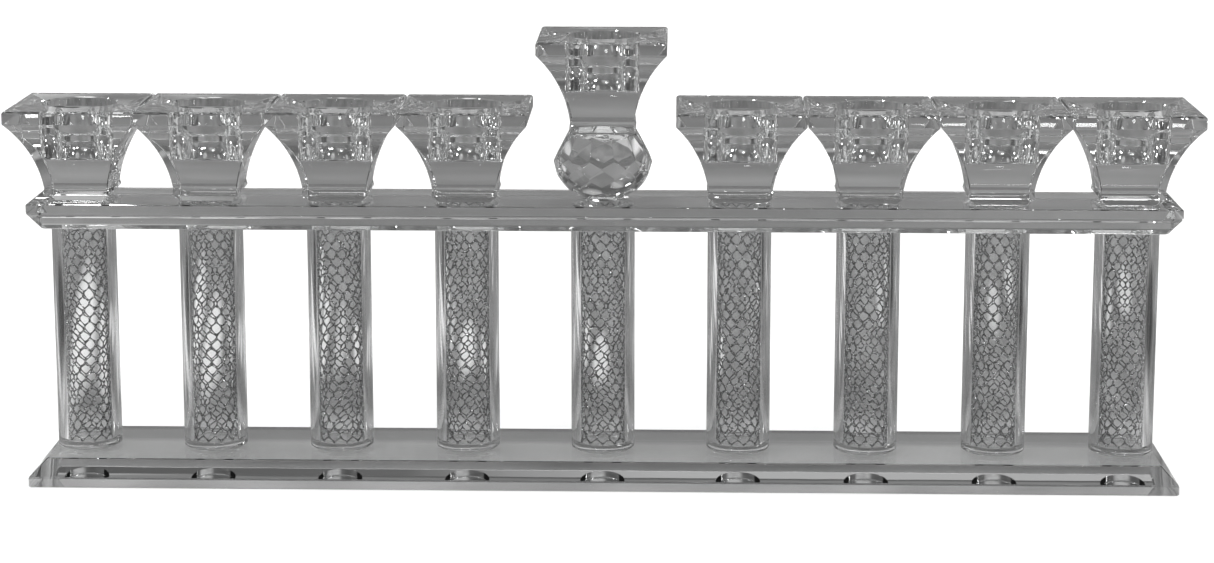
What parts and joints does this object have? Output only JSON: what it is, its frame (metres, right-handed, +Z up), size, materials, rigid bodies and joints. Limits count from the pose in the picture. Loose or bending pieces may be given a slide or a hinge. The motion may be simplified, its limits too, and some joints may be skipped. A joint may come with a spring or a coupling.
{
  "type": "menorah",
  "caption": "Crystal menorah: bevelled base and top plates joined by glass columns lined with silver net, square flared candle cups in a row, the centre one raised on a faceted ball.",
  "frame": {"origin": "centre of the base plate's underside", "axes": "+X along the row of candles, +Y to the back, +Z up"},
  "size_m": [0.3674, 0.048, 0.1398],
  "materials": {
    "base_glass": "polished clear crystal, bevelled",
    "plate_glass": "polished clear crystal, bevelled",
    "tube_glass": "clear drawn glass tube, ground ends",
    "cup_crystal": "polished clear crystal, cut edges",
    "ball_crystal": "faceted clear crystal",
    "silver_net": "bright silver wire net"
  },
  "bodies": {
    "root": {"base_plate": "base_glass", "top_plate": "plate_glass", "column_tube_1": "tube_glass", "net_sleeve_1": "silver_net", "column_tube_2": "tube_glass", "net_sleeve_2": "silver_net", "column_tube_3": "tube_glass", "net_sleeve_3": "silver_net", "column_tube_4": "tube_glass", "net_sleeve_4": "silver_net", "column_tube_5": "tube_glass", "net_sleeve_5": "silver_net", "column_tube_6": "tube_glass", "net_sleeve_6": "silver_net", "column_tube_7": "tube_glass", "net_sleeve_7": "silver_net", "column_tube_8": "tube_glass", "net_sleeve_8": "silver_net", "column_tube_9": "tube_glass", "net_sleeve_9": "silver_net", "candle_cup_1": "cup_crystal", "candle_cup_2": "cup_crystal", "candle_cup_3": "cup_crystal", "candle_cup_4": "cup_crystal", "candle_cup_5": "cup_crystal", "candle_cup_6": "cup_crystal", "candle_cup_7": "cup_crystal", "candle_cup_8": "cup_crystal", "shamash_cup": "cup_crystal", "shamash_ball": "ball_crystal"}
  },
  "joints": []
}
